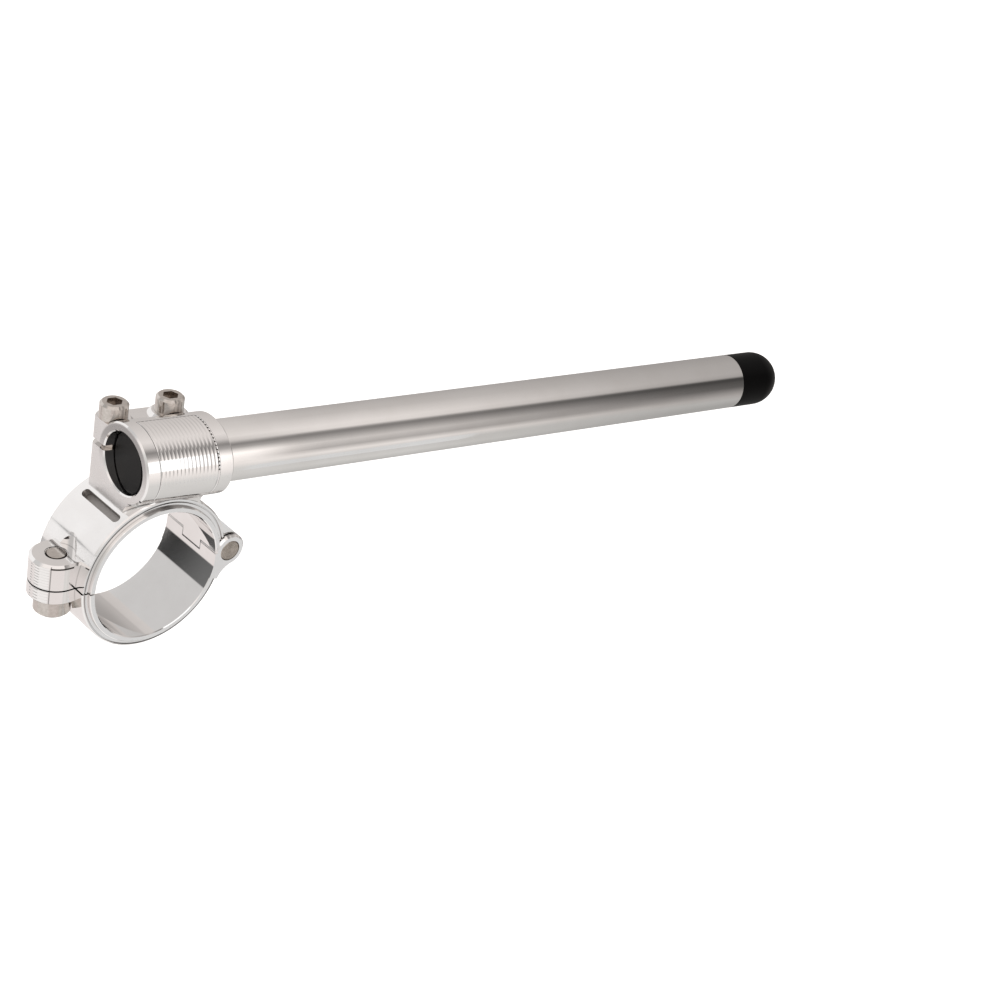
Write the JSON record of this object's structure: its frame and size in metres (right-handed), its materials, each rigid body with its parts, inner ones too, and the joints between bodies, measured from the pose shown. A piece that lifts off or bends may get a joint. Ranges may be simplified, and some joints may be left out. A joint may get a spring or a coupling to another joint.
{
  "type": "clip on handlebar",
  "caption": "Left hand clip on handlebar: a split hinged ring grips the fork tube and a slit barrel on it holds a straight tube bar with a black end cap.",
  "frame": {"origin": "centre of the bore that grips the fork tube, half way along it", "axes": "+Z along the fork tube towards the face seen in the picture, +X out towards the grip end, +Y from the fork tube to the bar"},
  "size_m": [0.3189, 0.0895, 0.0827],
  "materials": {
    "clamp_alloy": "machined and bright anodised, satin",
    "bar_alloy": "polished and bright anodised",
    "pin_steel": "turned",
    "screw_steel": "stainless, satin",
    "black_plastic": "satin black"
  },
  "bodies": {
    "clamp": {"clamp_body": "clamp_alloy", "hinge_pin": "pin_steel", "pinch_screws": "screw_steel"},
    "cap": {"ring_cap": "clamp_alloy", "clamp_screw": "screw_steel"},
    "bar": {"bar_tube": "bar_alloy", "inner_plug": "black_plastic", "bar_end_cap": "black_plastic"}
  },
  "joints": [
    {"name": "ring_hinge", "type": "hinge", "parent": "clamp", "child": "cap", "pos_m": [0.0314, 0.0012, 0], "axis": [0, 0, 1], "range_deg": [0, 75]},
    {"name": "bar_slide", "type": "slide", "parent": "clamp", "child": "bar", "axis": [0.9848, 0, 0.1736], "range_m": [-0.03, 0]}
  ]
}
